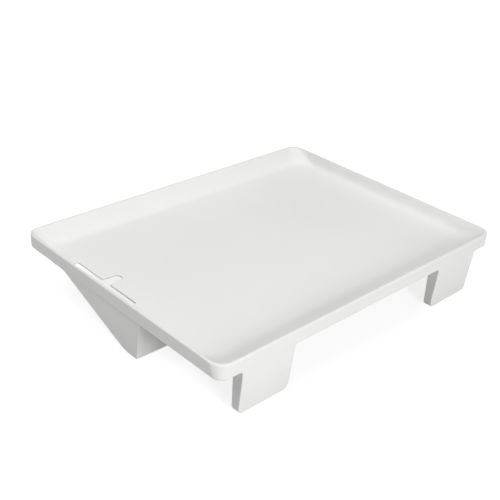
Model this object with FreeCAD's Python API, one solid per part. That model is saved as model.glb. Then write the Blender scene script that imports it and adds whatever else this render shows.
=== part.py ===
import FreeCAD, Part
import math
import os

from FreeCAD import Vector

# Clip-on bedside tray, moulded in one piece, in millimetres.
# A shallow dish with a drafted rim hangs over the side rail of a bed: two legs drop
# outside the rail, two triangular brackets stand behind it, and the rail fills the gap.
# X runs along the rail, the legs are on the -Y side, and the origin lies under the
# middle of the tray in the plane of its feet.

# Driving dimensions of the tray. Its corners tighten from the lip to the rim's lower edge.
tray_length = 400.0
tray_width = 305.0
stand_height = 66.0
lip_corner_radius = 16.0
rim_corner_radius = 10.5
end_draft = 6.3
side_draft = 4.7
wall = 2.4

# The lip and the dish inside it. Wall angles are measured from upright.
lip_width = 2.8
lip_outer_round = 1.25
lip_inner_round = 0.8
dish_depth = 13.0
floor_thickness = 2.0
side_wall_angle = 56.0
side_foot_radius = 26.0
end_wall_angle = 15.0
end_foot_radius = 6.0
floor_corner_radius = 22.0

# The rim reaches a little below the floor. Its lower edge is rounded across the whole wall.
rim_overhang = 1.85
lower_edge_round = 3.0

# Legs on the near side
leg_inset = 28.3
leg_width = 63.9
leg_taper = 0.8
leg_depth = 14.2
leg_root_radius = 3.0
leg_root_spread = 9.0
leg_corner_radius = 6.5
leg_edge_round = 1.0

# Brackets at both ends, which face the legs across the rail. A bracket's side falls back
# from the rim's face by one step at its front and by the other at its far end.
rail_gap = 101.0
bracket_lean = 13.0
bracket_front_step = 2.4
bracket_far_step = 0.4
bracket_width = 62.0
bracket_length = 123.0
bracket_toe = 18.0
bracket_toe_radius = 40.0
bracket_root_radius = 20.0
bracket_edge_round = 0.6

# Slot for a phone or a magazine, with a tapering branch that takes a charging lead
slot_inner_edge = 19.8
slot_width = 7.4
slot_length = 98.0
slot_centre = 189.4
slot_corner_radius = 1.6
branch_reach = 17.7
branch_width = 12.3
branch_tip_width = 9.4
branch_tip_radius = 4.0
branch_mouth_radius = 1.5
slot_edge_round = 0.8

# Hidden side: grooves behind the rim and ribs that stop level with its lower edge
groove_roof = 4.5
groove_end = 24.0
rib_width = 1.8
cross_rib_count = 5
long_rib_count = 3

# Sizes that follow from the ones above
lip_z = stand_height
floor_z = lip_z - dish_depth
rim_height = dish_depth + floor_thickness + rim_overhang
rim_low_z = lip_z - rim_height
half_length = tray_length / 2
half_width = tray_width / 2
bracket_front_y = -half_width + leg_depth + rail_gap
bracket_back_y = bracket_front_y + bracket_length

# Outlines that the dish is drawn through, how far cutting shapes run past what they cut,
# and the distance within which two places count as one
slope_outlines = 4
foot_outlines = 5
beyond = 5.0
tolerance = 1e-3


def polygon_face(points):
    return Part.Face(Part.makePolygon(list(points) + [points[0]]))


def block_between(low, high):
    """Solid between two outlines of four points, both given counter-clockwise from above."""
    faces = [polygon_face(low[::-1]), polygon_face(high)]
    for i in range(4):
        j = (i + 1) % 4
        faces.append(polygon_face([low[i], low[j], high[j], high[i]]))
    return Part.makeSolid(Part.makeShell(faces))


def face_inset(z, draft):
    """How far a leaning outer face lies inside the tray's size at one height.

    It starts a little wide, so that the tray has its full size once the lip is rounded.
    """
    angle = math.radians(draft)
    spread = lip_outer_round * (math.tan(angle) + 1 / math.cos(angle) - 1)
    return (lip_z - z) * math.tan(angle) - spread


def drafted_block(inset, z_low, z_high):
    """The tray's outer form between two heights, with leaning sides and sharp corners."""
    outlines = []
    for z in (z_low, z_high):
        x = half_length - inset - face_inset(z, end_draft)
        y = half_width - inset - face_inset(z, side_draft)
        outlines.append([Vector(x, y, z), Vector(-x, y, z), Vector(-x, -y, z), Vector(x, -y, z)])
    return block_between(*outlines)


def middle_of(edge):
    return edge.valueAt((edge.FirstParameter + edge.LastParameter) / 2)


def is_sharp(shape, edge):
    """True where the two faces that meet at an edge turn through an angle."""
    faces = shape.ancestorsOfType(edge, Part.Face)
    if len(faces) < 2:
        return False
    normals = []
    for face in faces:
        u, v = face.Surface.parameter(middle_of(edge))
        normals.append(face.normalAt(u, v))
    return normals[0].getAngle(normals[1]) > math.radians(5)


def corner_radius_at(z):
    share = (z - rim_low_z) / rim_height
    return rim_corner_radius + (lip_corner_radius - rim_corner_radius) * share


def rounded_block(inset, z_low, z_high):
    """The outer form with its corners rounded, each radius set by the height."""
    block = drafted_block(inset, z_low, z_high)
    low_radius = corner_radius_at(z_low) - inset
    high_radius = corner_radius_at(z_high) - inset
    for upward in (True, False):
        chosen = []
        for edge in block.Edges:
            climb = edge.Vertexes[-1].Z - edge.Vertexes[0].Z
            if abs(climb) > tolerance and (climb > 0) == upward and is_sharp(block, edge):
                chosen.append(edge)
        first, last = (low_radius, high_radius) if upward else (high_radius, low_radius)
        if chosen:
            block = block.makeFillet(first, last, chosen)
    return block


def rounded_rectangle(inset_x, inset_y, radius, z):
    """Closed outline, inset from the lip's outer edge, at one height."""
    cx = half_length - inset_x - radius
    cy = half_width - inset_y - radius
    centres = [Vector(cx, cy, z), Vector(-cx, cy, z), Vector(-cx, -cy, z), Vector(cx, -cy, z)]
    arcs = []
    for i, centre in enumerate(centres):
        arcs.append(Part.makeCircle(radius, centre, Vector(0, 0, 1), 90 * i, 90 * (i + 1)))
    edges = []
    for i, arc in enumerate(arcs):
        edges.append(arc)
        after = arcs[(i + 1) % 4]
        edges.append(Part.makeLine(arc.Vertexes[-1].Point, after.Vertexes[0].Point))
    return Part.Wire(edges)


def wall_inset(depth, angle, foot_radius, outward):
    """Inset of a dish wall at a depth: a straight slope that runs into the floor in an arc.

    outward moves the whole surface that far into the plastic, to draw the wall's back.
    """
    a = math.radians(angle)
    arc_starts = dish_depth - foot_radius * (1 - math.sin(a))
    centre = lip_width + arc_starts * math.tan(a) + foot_radius * math.cos(a)
    if depth <= arc_starts + outward * math.sin(a):
        return lip_width + depth * math.tan(a) - outward / math.cos(a)
    drop = depth - (dish_depth - foot_radius)
    reach = foot_radius + outward
    return centre - math.sqrt(max(reach * reach - drop * drop, 0.0))


def dish_form(outward, top_depth):
    """The dish as a solid: its inner surface, or its back when outward is the wall.

    It is drawn through level outlines, spaced evenly down the slope of the long walls
    and then round the arc at their foot.
    """
    bottom = dish_depth + outward
    slope = math.radians(side_wall_angle)
    reach = side_foot_radius + outward
    bend = bottom - reach * (1 - math.sin(slope))
    depths = [top_depth + (bend - top_depth) * i / slope_outlines for i in range(slope_outlines)]
    for i in range(foot_outlines + 1):
        turn = (math.pi / 2 - slope) * (1 - i / foot_outlines)
        depths.append(bottom - reach * (1 - math.cos(turn)))
    outlines = []
    for depth in depths:
        across = wall_inset(depth, end_wall_angle, end_foot_radius, outward)
        along = wall_inset(depth, side_wall_angle, side_foot_radius, outward)
        share = max(depth, 0.0) / bottom
        radius = (lip_corner_radius - lip_width) * (1 - share) + floor_corner_radius * share + outward
        outlines.append(rounded_rectangle(across, along, radius, lip_z - depth))
    return Part.makeLoft(outlines, True, False)


def arc_through(start, corner, end, radius):
    """First, middle and last point of the arc that rounds a corner between two others."""
    a = (start - corner).normalize()
    b = (end - corner).normalize()
    half = a.getAngle(b) / 2
    tangent = radius / math.tan(half)
    middle_way = (a + b).normalize()
    middle = corner + middle_way * (radius / math.sin(half) - radius)
    return corner + a * tangent, middle, corner + b * tangent


def rounded_prism(points, radii, direction):
    """A profile whose corners have the radii given, drawn out along a direction."""
    count = len(points)
    corners = []
    for i, point in enumerate(points):
        if radii[i] > 0:
            corners.append(arc_through(points[i - 1], point, points[(i + 1) % count], radii[i]))
        else:
            corners.append((point, None, point))
    edges = []
    for i, (first, middle, last) in enumerate(corners):
        if middle is not None:
            edges.append(Part.Arc(first, middle, last).toShape())
        start_of_next = corners[(i + 1) % count][0]
        if last.distanceToPoint(start_of_next) > tolerance:
            edges.append(Part.makeLine(last, start_of_next))
    return Part.Face(Part.Wire(edges)).extrude(direction)


def mirrored(shape):
    """The same shape at the other end of the tray."""
    return shape.mirror(Vector(0, 0, 0), Vector(1, 0, 0))


def both_ends(shape):
    return [shape, mirrored(shape)]


def upright_faces(shape):
    return [face for face in shape.Faces if abs(face.normalAt(0.5, 0.5).z) < 0.5]


def lies_on(skin, edge):
    return skin.distToShape(Part.Vertex(middle_of(edge)))[0] < tolerance


def leg_outline(shrink, top_z, bottom_z):
    """Corner points of a leg seen from the front, tapering towards the foot."""
    outer = -half_length + leg_inset + shrink
    inner = -half_length + leg_inset + leg_width - shrink
    top = (rim_low_z - top_z) * leg_taper / rim_low_z
    low = (rim_low_z - bottom_z) * leg_taper / rim_low_z
    y = -half_width - beyond
    return [Vector(outer + top, y, top_z), Vector(outer + low, y, bottom_z),
            Vector(inner - low, y, bottom_z), Vector(inner - top, y, top_z)]


def leg_prism():
    """Front profile of a leg, which runs into the rim's lower edge by its root radii."""
    a, b, c, d = leg_outline(0.0, rim_low_z, 0.0)
    left = a - Vector(leg_root_spread, 0, 0)
    right = d + Vector(leg_root_spread, 0, 0)
    up = Vector(0, 0, beyond)
    points = [left + up, left, a, b, c, d, right, right + up]
    root = leg_root_radius
    foot = leg_corner_radius
    radii = [0, 0, root, foot, foot, root, 0, 0]
    return rounded_prism(points, radii, Vector(0, leg_depth + beyond, 0))


def lower_radius_at(z):
    """Rounding of the edge that runs under the rim and down round the legs."""
    return lower_edge_round if z > rim_low_z - tolerance else leg_edge_round


def filleted(solid, radii):
    """The solid with a chain of edges rounded, from rows of edge number and two radii.

    The chain is followed counter-clockwise from above, so towards +X on the near side.
    """
    document = FreeCAD.newDocument()
    base = document.addObject("Part::Feature")
    base.Shape = solid
    rounding = document.addObject("Part::Fillet")
    rounding.Base = base
    rounding.Edges = radii
    document.recompute()
    result = rounding.Shape.copy()
    FreeCAD.closeDocument(document.Name)
    return result


def apron():
    """Rim and legs as one full solid, with the edge that runs under both rounded."""
    rim = rounded_block(0.0, rim_low_z, lip_z)
    full_height = drafted_block(0.0, 0.0, lip_z)
    solid = rim
    for prism in both_ends(leg_prism()):
        solid = solid.fuse(prism.common(full_height))
    solid = solid.removeSplitter()
    skin = Part.makeCompound(upright_faces(rim) + upright_faces(full_height))
    radii = []
    for number, edge in enumerate(solid.Edges, start=1):
        low_enough = middle_of(edge).z < rim_low_z + tolerance
        if low_enough and lies_on(skin, edge) and is_sharp(solid, edge):
            ends = sorted((vertex.Point for vertex in edge.Vertexes), key=lambda point: point.x)
            radii.append((number, lower_radius_at(ends[0].z), lower_radius_at(ends[-1].z)))
    return filleted(solid, radii)


def bracket_front_line(shift, top_z):
    """Top and foot of a bracket's leaning front. shift moves it back, into the plastic."""
    angle = math.radians(bracket_lean)
    y = bracket_front_y + shift / math.cos(angle)
    top = Vector(-half_length, y - (top_z - rim_low_z) * math.tan(angle), top_z)
    foot = Vector(-half_length, y + rim_low_z * math.tan(angle), 0)
    return top, foot


def bracket_side_form(inset, z_low):
    """Everything inside the left bracket's side, which is turned a little from the rim."""
    y_front = bracket_front_y - beyond
    y_far = bracket_back_y + bracket_root_radius + beyond
    outlines = []
    for z in (z_low, lip_z):
        x = -half_length + inset + face_inset(z, end_draft)
        front = Vector(x + bracket_front_step, y_front, z)
        far = Vector(x + bracket_far_step, y_far, z)
        outlines.append([front, Vector(0, y_front, z), Vector(0, y_far, z), far])
    return block_between(*outlines)


def bracket_block():
    """The left bracket as a full solid, with rounded edges."""
    top, foot = bracket_front_line(0.0, floor_z - floor_thickness / 2)
    toe = foot + Vector(0, bracket_toe, 0)
    back = Vector(-half_length, bracket_back_y, rim_low_z)
    past = back + Vector(0, bracket_root_radius, 0)
    points = [top, foot, toe, back, past, Vector(past.x, past.y, top.z)]
    radii = [0, 0, bracket_toe_radius, bracket_root_radius, 0, 0]
    prism = rounded_prism(points, radii, Vector(bracket_width, 0, 0))
    block = prism.common(bracket_side_form(0.0, -beyond))
    rim_line = rim_low_z - bracket_edge_round / 2
    inner_x = -half_length + bracket_width
    chosen = []
    for edge in block.Edges:
        box = edge.BoundBox
        point = middle_of(edge)
        crosses = box.XLength > bracket_width / 2
        on_inner_side = box.XMin > inner_x - tolerance
        at_front_foot = crosses and point.z < tolerance and point.y < foot.y + tolerance
        if not is_sharp(block, edge) or point.z > top.z - tolerance:
            continue
        if at_front_foot or (not crosses and box.ZMin < rim_line and not on_inner_side):
            chosen.append(edge)
        elif on_inner_side and point.y < foot.y and box.ZMin < rim_line:
            chosen.append(edge)
    return block.makeFillet(bracket_edge_round, chosen)


def bracket_hollow():
    """Space inside the left bracket, open at the bottom and towards the far side."""
    top, foot = bracket_front_line(wall, floor_z - floor_thickness)
    low = foot + (foot - top) * (beyond / top.z)
    far = bracket_back_y + bracket_root_radius + beyond
    points = [top, low, Vector(low.x, far, low.z), Vector(top.x, far, top.z)]
    prism = rounded_prism(points, [0, 0, 0, 0], Vector(bracket_width - wall, 0, 0))
    return prism.common(bracket_side_form(wall, low.z - beyond))


def leg_hollow():
    """Space inside the left leg, open at the foot."""
    points = leg_outline(wall, lip_z - groove_roof, -beyond)
    prism = rounded_prism(points, [0, 0, 0, 0], Vector(0, leg_depth - wall + beyond, 0))
    return prism.common(drafted_block(wall, -2 * beyond, lip_z))


def leg_core():
    """The leg's full width and depth, which the grooves behind the rim leave standing."""
    points = leg_outline(0.0, lip_z, -beyond)
    return rounded_prism(points, [0, 0, 0, 0], Vector(0, leg_depth + beyond, 0))


def ribs():
    """Thin ribs under the floor, level with the rim's lower edge."""
    boxes = []
    reach = half_length - bracket_width
    for i in range(cross_rib_count):
        x = -reach + 2 * reach * (i + 0.5) / cross_rib_count
        start = Vector(x - rib_width / 2, -half_width, rim_low_z)
        boxes.append(Part.makeBox(rib_width, tray_width, rim_height, start))
    for i in range(long_rib_count):
        y = -half_width + tray_width * (i + 1) / (long_rib_count + 1)
        start = Vector(-reach, y - rib_width / 2, rim_low_z)
        boxes.append(Part.makeBox(2 * reach, rib_width, rim_height, start))
    return boxes


def underside(dish_back, brackets):
    """Everything that is hollow under the floor and behind the rim."""
    hollow = rounded_block(wall, rim_low_z - beyond, lip_z - groove_roof)
    end_roof_z = floor_z + floor_thickness / 2
    for x in (-half_length, half_length - groove_end):
        start = Vector(x, -half_width, end_roof_z)
        hollow = hollow.cut(Part.makeBox(groove_end, tray_width, rim_height, start))
    for solid in both_ends(leg_core()) + brackets + ribs():
        hollow = hollow.cut(solid)
    for space in both_ends(leg_hollow()) + both_ends(bracket_hollow()):
        hollow = hollow.fuse(space)
    return hollow.cut(dish_back)


def slot():
    """T-shaped opening through the floor at the left end."""
    left = -half_length + slot_inner_edge - slot_width
    right = -half_length + slot_inner_edge
    tip = right + branch_reach
    middle = -half_width + slot_centre
    z = rim_low_z - beyond / 2
    outline = [(left, slot_length), (right, slot_length), (right, branch_width), (tip, branch_tip_width)]
    near = [Vector(x, middle - width / 2, z) for x, width in outline]
    far = [Vector(x, middle + width / 2, z) for x, width in outline]
    radii = [slot_corner_radius, slot_corner_radius, branch_mouth_radius, branch_tip_radius]
    return rounded_prism(near + far[::-1], radii + radii[::-1], Vector(0, 0, floor_z + beyond / 2 - z))


def round_lip(tray):
    """Rounds the lip's outer edges and then the inner ones, the only sharp ones left."""
    skin = Part.makeCompound(upright_faces(rounded_block(0.0, rim_low_z, lip_z)))
    on_top = [edge for edge in tray.Edges if edge.BoundBox.ZMin > lip_z - tolerance]
    tray = tray.makeFillet(lip_outer_round, [edge for edge in on_top if lies_on(skin, edge)])
    on_top = [edge for edge in tray.Edges if edge.BoundBox.ZMin > lip_z - tolerance]
    return tray.makeFillet(lip_inner_round, [edge for edge in on_top if is_sharp(tray, edge)])


def round_slot_edge(tray, cutter):
    """Breaks the slot's upper edge, which hands and leads pass over."""
    outline = Part.makeCompound(upright_faces(cutter))
    chosen = []
    for edge in tray.Edges:
        box = edge.BoundBox
        in_floor = abs(box.ZMin - floor_z) < tolerance and abs(box.ZMax - floor_z) < tolerance
        if in_floor and lies_on(outline, edge):
            chosen.append(edge)
    return tray.makeFillet(slot_edge_round, chosen)


def build_tray():
    brackets = both_ends(bracket_block())
    tray = apron()
    for bracket in brackets:
        tray = tray.fuse(bracket)
    tray = tray.cut(dish_form(0.0, -1.0))
    tray = round_lip(tray)
    tray = tray.cut(underside(dish_form(floor_thickness, 0.0), brackets))
    cutter = slot()
    tray = tray.cut(cutter)
    return round_slot_edge(tray, cutter)


os.makedirs("parts", exist_ok=True)
tray = build_tray()
print("tray", tray.ShapeType, "solids", len(tray.Solids), "valid", tray.isValid())
print("volume cm3", round(tray.Volume / 1000, 1))
tray.exportStep("parts/tray.step")
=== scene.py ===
# %% [markdown]
# # Clip-on bedside tray
#
# One white moulding: a shallow dish whose rim hangs over the side rail of a bed. Two
# legs drop outside the rail and two triangular brackets stand behind it. The packed
# model already holds that whole form, so this lesson is about finish and light: how a
# plain moulded surface gets the small things that make it read as real plastic.

# %% Load the model
from math import pi, radians

import bpy
from mathutils import Matrix, Vector


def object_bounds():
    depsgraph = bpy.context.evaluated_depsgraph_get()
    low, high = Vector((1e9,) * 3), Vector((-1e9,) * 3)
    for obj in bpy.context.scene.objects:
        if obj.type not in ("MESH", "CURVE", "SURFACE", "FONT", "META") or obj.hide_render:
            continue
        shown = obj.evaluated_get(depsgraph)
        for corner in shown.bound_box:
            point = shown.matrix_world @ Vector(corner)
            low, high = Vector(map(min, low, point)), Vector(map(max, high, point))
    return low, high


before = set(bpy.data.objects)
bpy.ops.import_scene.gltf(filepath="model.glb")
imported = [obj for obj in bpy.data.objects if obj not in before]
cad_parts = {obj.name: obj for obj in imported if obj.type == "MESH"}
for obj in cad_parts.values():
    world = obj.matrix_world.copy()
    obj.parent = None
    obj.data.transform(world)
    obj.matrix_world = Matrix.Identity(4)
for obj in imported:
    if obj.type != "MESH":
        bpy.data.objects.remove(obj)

cad_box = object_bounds()
bpy.ops.object.select_all(action="DESELECT")
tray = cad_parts["tray"]
print("tray:", len(tray.data.polygons), "triangles, box", [list(corner) for corner in cad_box])

# %% [markdown]
# ## Helpers for materials
#
# A material is a graph of nodes. One short helper adds a node with its settings. Each
# of its inputs takes either a fixed value or what another node puts out, so a graph reads
# from top to bottom like a recipe. Three more helpers make the nodes that come up again
# and again: soft noise, a change of range and a step of arithmetic.

# %% Node helpers
def add_node(tree, kind, inputs=None, **settings):
    """A node. An input, given by name or number, takes a value or another node's output."""
    node = tree.nodes.new(kind)
    for name, value in settings.items():
        setattr(node, name, value)
    for name, value in (inputs or {}).items():
        if isinstance(value, bpy.types.NodeSocket):
            tree.links.new(value, node.inputs[name])
        else:
            node.inputs[name].default_value = value
    return node


def add_noise(tree, place, scale, detail, roughness=0.5):
    """Soft noise from 0 to 1, with about as many bumps per metre as scale says."""
    texture = add_node(tree, "ShaderNodeTexNoise", {
        "Vector": place, "Scale": scale, "Detail": detail, "Roughness": roughness})
    return texture.outputs["Fac"]


def add_range(tree, value, low, high, to_low=0.0, to_high=1.0, curve="LINEAR"):
    """The value, with low to high turned into to_low to to_high and cut off beyond them."""
    ranged = add_node(tree, "ShaderNodeMapRange", {
        "Value": value, "From Min": low, "From Max": high, "To Min": to_low, "To Max": to_high,
    }, interpolation_type=curve)
    return ranged.outputs["Result"]


def add_maths(tree, operation, *values):
    """The result of one operation on its values."""
    step = add_node(tree, "ShaderNodeMath", dict(enumerate(values)), operation=operation)
    return step.outputs["Value"]


print("helpers for nodes, noise, ranges and maths")

# %% [markdown]
# ## Materials and groups
#
# An effect that a whole family of parts could share is a node group: a small graph with
# named inputs and outputs that each material places with its own values. The groups
# below all start in the same way, with their sockets and a point on the part. That point
# is in Object coordinates, in metres, so a pattern keeps its real scale.

# %% Material and group helpers
NUMBER = "NodeSocketFloat"
COLOUR = "NodeSocketColor"


def new_material(name):
    material = bpy.data.materials.new(name)
    material.use_nodes = True
    material.node_tree.nodes.clear()
    return material, material.node_tree


def object_place(tree):
    return add_node(tree, "ShaderNodeTexCoord").outputs["Object"]


def new_group(name, inputs, outputs):
    """A node group with its sockets, what is given to it, and the point on the part."""
    group = bpy.data.node_groups.new(name, "ShaderNodeTree")
    for side, sockets in (("INPUT", inputs), ("OUTPUT", outputs)):
        for socket, kind in sockets.items():
            group.interface.new_socket(socket, in_out=side, socket_type=kind)
    given = add_node(group, "NodeGroupInput")
    return group, given.outputs, object_place(group)


print("helpers for materials and groups")

# %% [markdown]
# ## The skin of a moulding
#
# A steel mould is spark-eroded or blasted, and the plastic copies that: a grain far finer
# than a millimetre, which is why the surface looks matt and not like glazed china. Under
# the grain lies a much softer waviness of a few millimetres, where the wall shrank. Over
# larger distances the plastic freezes at slightly different rates, so the sheen and the
# white drift a little. On top of that the pits of the grain are painted a touch darker
# than its tips, as painted shade in the tiny hollows. All of it is built once as a node
# group, so that any other moulding of the set could use it with its own values.

# %% Node group for the moulded skin
# Grain and drift added together stay mostly within the first pair, which spans the random
# drift in tone and the painted shade in the grain's pits; drift alone stays in the second.
drift_and_pit_shade_low, drift_and_pit_shade_high = 0.7, 1.3
sheen_low, sheen_high = 0.3, 0.7


def moulded_skin_group():
    inputs = {
        "Colour": COLOUR, "Shade": COLOUR, "Grain per metre": NUMBER,
        "Waves per metre": NUMBER, "Wave share": NUMBER, "Drift per metre": NUMBER,
        "Roughness low": NUMBER, "Roughness high": NUMBER,
    }
    outputs = {"Colour": COLOUR, "Roughness": NUMBER, "Height": NUMBER}
    group, given, place = new_group("moulded_skin", inputs, outputs)

    grain = add_noise(group, place, given["Grain per metre"], detail=2.0)
    waves = add_noise(group, place, given["Waves per metre"], detail=1.0, roughness=0.4)
    drift = add_noise(group, place, given["Drift per metre"], detail=3.0, roughness=0.45)

    # Painted shade: where the grain is low, in its pits, the colour leans to Shade, and the
    # slow drift adds a random tone on top.
    together = add_maths(group, "ADD", grain, drift)
    drift_and_pit_shade = add_range(group, together, drift_and_pit_shade_low, drift_and_pit_shade_high)
    blend = add_node(group, "ShaderNodeMix", {
        "Factor": drift_and_pit_shade, "A": given["Shade"], "B": given["Colour"]}, data_type="RGBA")
    sheen = add_range(group, drift, sheen_low, sheen_high,
                      given["Roughness low"], given["Roughness high"])
    height = add_maths(group, "MULTIPLY_ADD", waves, given["Wave share"], grain)
    add_node(group, "NodeGroupOutput", {
        "Colour": blend.outputs["Result"], "Roughness": sheen, "Height": height})
    return group


moulded_skin = moulded_skin_group()
print("group", moulded_skin.name, "with", len(moulded_skin.nodes), "nodes")

# %% [markdown]
# ## Where hands polish it
#
# A tray is picked up by its lip, and the grain wears smooth there first, in uneven patches.
# The lip is the highest part of the tray, so a mask that rises over the last millimetres of
# height finds it, and a soft noise breaks that band up.

# %% Node group for the handled lip
patch_low, patch_high = 0.35, 0.65
least_wear = 0.4


def handled_lip_group():
    inputs = {"Starts at": NUMBER, "Full at": NUMBER, "Patches per metre": NUMBER}
    group, given, place = new_group("handled_lip", inputs, {"Mask": NUMBER})

    parts = add_node(group, "ShaderNodeSeparateXYZ", {"Vector": place})
    band = add_range(group, parts.outputs["Z"], given["Starts at"], given["Full at"],
                     curve="SMOOTHSTEP")
    patches = add_noise(group, place, given["Patches per metre"], detail=4.0)
    broken = add_range(group, patches, patch_low, patch_high, to_low=least_wear)
    worn = add_maths(group, "MULTIPLY", band, broken)
    add_node(group, "NodeGroupOutput", {"Mask": worn})
    return group


handled_lip = handled_lip_group()
print("group", handled_lip.name, "with", len(handled_lip.nodes), "nodes")

# %% [markdown]
# ## Fine marks from use
#
# Whatever slides over the plastic leaves hair-fine marks that only show in the sheen.
# Noise that is drawn out strongly along one direction gives such streaks, and the highest
# part of it leaves a few of them. A second set at another angle keeps them from looking
# combed.

# %% Node group for the fine marks
mark_angles = (radians(23.0), radians(-58.0))
mark_stretch = (0.03, 1.0, 0.4)
full_mark = 0.9


def fine_marks_group():
    inputs = {"Marks per metre": NUMBER, "Threshold": NUMBER}
    group, given, place = new_group("fine_marks", inputs, {"Mask": NUMBER})

    mark_sets = []
    for angle in mark_angles:
        drawn_out = add_node(group, "ShaderNodeMapping", {
            "Vector": place, "Rotation": (0.0, 0.0, angle), "Scale": mark_stretch})
        streaks = add_noise(group, drawn_out.outputs["Vector"], given["Marks per metre"],
                            detail=1.0)
        mark_sets.append(add_range(group, streaks, given["Threshold"], full_mark))
    either = add_maths(group, "MAXIMUM", *mark_sets)
    add_node(group, "NodeGroupOutput", {"Mask": either})
    return group


fine_marks = fine_marks_group()
print("group", fine_marks.name, "with", len(fine_marks.nodes), "nodes")

# %% [markdown]
# ## White plastic
#
# The tray is one neutral white with a matt skin. The base colour is what the plastic
# reflects under plain light, so it is a pale grey and not a full white. The skin gives the
# roughness, the handled lip takes some of it away, and the fine marks add a little.

# %% Material of the tray
lip_height = cad_box[1][2]
lip_band = 0.002
polish_gain = -0.18
marks_gain = 0.10
plastic_ior = 1.46
bump_strength = 0.5
bump_height = 0.0001


def white_plastic():
    material, tree = new_material("white_plastic")
    # Colour and Shade span the plastic's random drift in tone and the painted shade in the
    # pits of the grain.
    skin = add_node(tree, "ShaderNodeGroup", {
        "Colour": (0.822, 0.82, 0.814, 1.0), "Shade": (0.776, 0.774, 0.768, 1.0),
        "Grain per metre": 2600.0, "Waves per metre": 130.0, "Wave share": 0.7,
        "Drift per metre": 7.0, "Roughness low": 0.46, "Roughness high": 0.56,
    }, node_tree=moulded_skin)
    lip = add_node(tree, "ShaderNodeGroup", {
        "Starts at": lip_height - lip_band, "Full at": lip_height, "Patches per metre": 45.0,
    }, node_tree=handled_lip)
    marks = add_node(tree, "ShaderNodeGroup", {
        "Marks per metre": 900.0, "Threshold": 0.66}, node_tree=fine_marks)

    polished = add_maths(tree, "MULTIPLY_ADD",
                         lip.outputs["Mask"], polish_gain, skin.outputs["Roughness"])
    marked = add_maths(tree, "MULTIPLY_ADD", marks.outputs["Mask"], marks_gain, polished)
    bump = add_node(tree, "ShaderNodeBump", {
        "Strength": bump_strength, "Distance": bump_height, "Height": skin.outputs["Height"]})
    shader = add_node(tree, "ShaderNodeBsdfPrincipled", {
        "Base Color": skin.outputs["Colour"], "Roughness": marked, "IOR": plastic_ior,
        "Normal": bump.outputs["Normal"]})
    add_node(tree, "ShaderNodeOutputMaterial", {"Surface": shader.outputs["BSDF"]})
    return material


plastic = white_plastic()
for slot in tray.material_slots:
    slot.material = plastic
print("tray wears", [slot.material.name for slot in tray.material_slots])

# %% [markdown]
# ## Floor
#
# A product photograph stands on a white sweep of paper. The paper throws light back up
# under the rim and between the legs, and it takes the tray's shadow. To the camera it
# also glows, so that its lit part reaches white while a pale shadow stays. The glow grows
# with the distance from the tray, where less light falls, and so the paper fades into
# the white behind it. Light Path tells the rays apart: only what the camera, a mirror or
# clear plastic sees is raised.

# %% Floor
floor_size = 14.0
paper_colour = (0.6, 0.6, 0.6, 1.0)
seen_paper_colour = (0.4, 0.4, 0.4, 1.0)
near_glow, far_glow = 0.79, 1.0
near_distance, far_distance = 0.6, 2.5

bpy.ops.mesh.primitive_plane_add(size=floor_size, location=(0.0, 0.0, 0.0))
floor = bpy.context.object
floor.name = "floor"


def pale_floor():
    material, tree = new_material("pale_floor")
    paper = add_node(tree, "ShaderNodeBsdfDiffuse", {"Color": paper_colour})
    seen_paper = add_node(tree, "ShaderNodeBsdfDiffuse", {"Color": seen_paper_colour})
    distance = add_node(tree, "ShaderNodeVectorMath", {0: object_place(tree)},
                        operation="LENGTH")
    glow_here = add_range(tree, distance.outputs["Value"], near_distance, far_distance,
                          near_glow, far_glow, curve="SMOOTHSTEP")
    glow = add_node(tree, "ShaderNodeEmission", {"Strength": glow_here})
    seen = add_node(tree, "ShaderNodeAddShader", {
        0: seen_paper.outputs["BSDF"], 1: glow.outputs["Emission"]})

    rays = add_node(tree, "ShaderNodeLightPath").outputs
    camera_or_mirror = add_maths(tree, "MAXIMUM", rays["Is Camera Ray"], rays["Is Glossy Ray"])
    any_view = add_maths(tree, "MAXIMUM", camera_or_mirror, rays["Is Transmission Ray"])
    choice = add_node(tree, "ShaderNodeMixShader", {
        "Fac": any_view, 1: paper.outputs["BSDF"], 2: seen.outputs["Shader"]})
    add_node(tree, "ShaderNodeOutputMaterial", {"Surface": choice.outputs["Shader"]})
    return material


floor.data.materials.append(pale_floor())
print("floor", floor_size, "m wide")

# %% [markdown]
# ## World
#
# A faint white world lights what the lamps miss. The camera sees the same world as plain
# white, beyond the edge of the floor, so here too Light Path tells the rays apart.

# %% World
world_strength = 0.1
seen_world_strength = 1.0
world = bpy.data.worlds.new("studio")
world.use_nodes = True
bpy.context.scene.world = world
sky = world.node_tree
background = sky.nodes["Background"]
background.inputs["Color"].default_value = (1.0, 1.0, 1.0, 1.0)
camera_ray = add_node(sky, "ShaderNodeLightPath").outputs["Is Camera Ray"]
strength = add_range(sky, camera_ray, 0.0, 1.0, world_strength, seen_world_strength)
sky.links.new(strength, background.inputs["Strength"])
print("world lights with", world_strength, "and is seen at", seen_world_strength)

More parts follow.
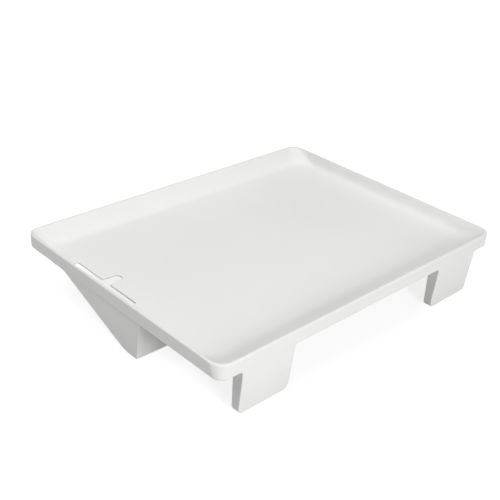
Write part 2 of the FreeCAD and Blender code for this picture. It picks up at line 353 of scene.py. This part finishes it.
# %% [markdown]
# ## Lamps
#
# A small studio: soft lamps high on the left and high behind the right corner share the
# work, and a weaker one overhead closes the gap between them. A smaller lamp stands low at
# the front, a little to the left. It lights the near face and the legs, glances along the
# faces that look left and reaches the bracket between the legs. Those faces fall off to a
# middle grey and show the depth of the legs and brackets.

# %% Lamps
lamp_target = Vector((0.0, 0.0, 0.03))


def soft_lamp(name, place, size, power):
    """A square lamp that looks at the middle of the tray."""
    data = bpy.data.lights.new(name, "AREA")
    data.shape = "SQUARE"
    data.size = size
    data.energy = power
    lamp = bpy.data.objects.new(name, data)
    bpy.context.scene.collection.objects.link(lamp)
    lamp.location = place
    lamp.rotation_euler = (lamp_target - Vector(place)).to_track_quat("-Z", "Y").to_euler()
    print(name, "at", place, "with", power, "W")


soft_lamp("lamp_above", place=(0.0, 0.0, 1.8), size=1.4, power=6.4)
soft_lamp("lamp_left", place=(-1.1, 0.2, 1.5), size=1.2, power=12.2)
soft_lamp("lamp_back_right", place=(0.8, 0.8, 1.5), size=1.2, power=12.4)
soft_lamp("lamp_front_left", place=(-0.35, -1.37, 0.5), size=0.5, power=13.4)

# %% [markdown]
# ## Camera
#
# The camera stands where the photograph was taken from: in front of the tray's left end,
# looking down at it by 29 degrees. The numbers come from matching the tray's straight
# edges to their lines in the picture.

# %% Camera
camera_place = (-0.5962, -0.5746, 0.5015)
heading = radians(44.963)
tilt = radians(29.038)
roll = radians(3.667)
lens_mm = 63.158
sensor_mm = 36.0
nearest_seen = 0.01

camera_data = bpy.data.cameras.new("camera")
camera_data.sensor_fit = "HORIZONTAL"
camera_data.sensor_width = sensor_mm
camera_data.lens = lens_mm
camera_data.clip_start = nearest_seen
camera = bpy.data.objects.new("camera", camera_data)
bpy.context.scene.collection.objects.link(camera)
turn = (Matrix.Rotation(-heading, 3, "Z") @ Matrix.Rotation(pi / 2 - tilt, 3, "X")
        @ Matrix.Rotation(roll, 3, "Z"))
camera.location = camera_place
camera.rotation_euler = turn.to_euler()
bpy.context.scene.camera = camera
bpy.context.scene.view_settings.view_transform = "Standard"
print("camera at", camera_place)
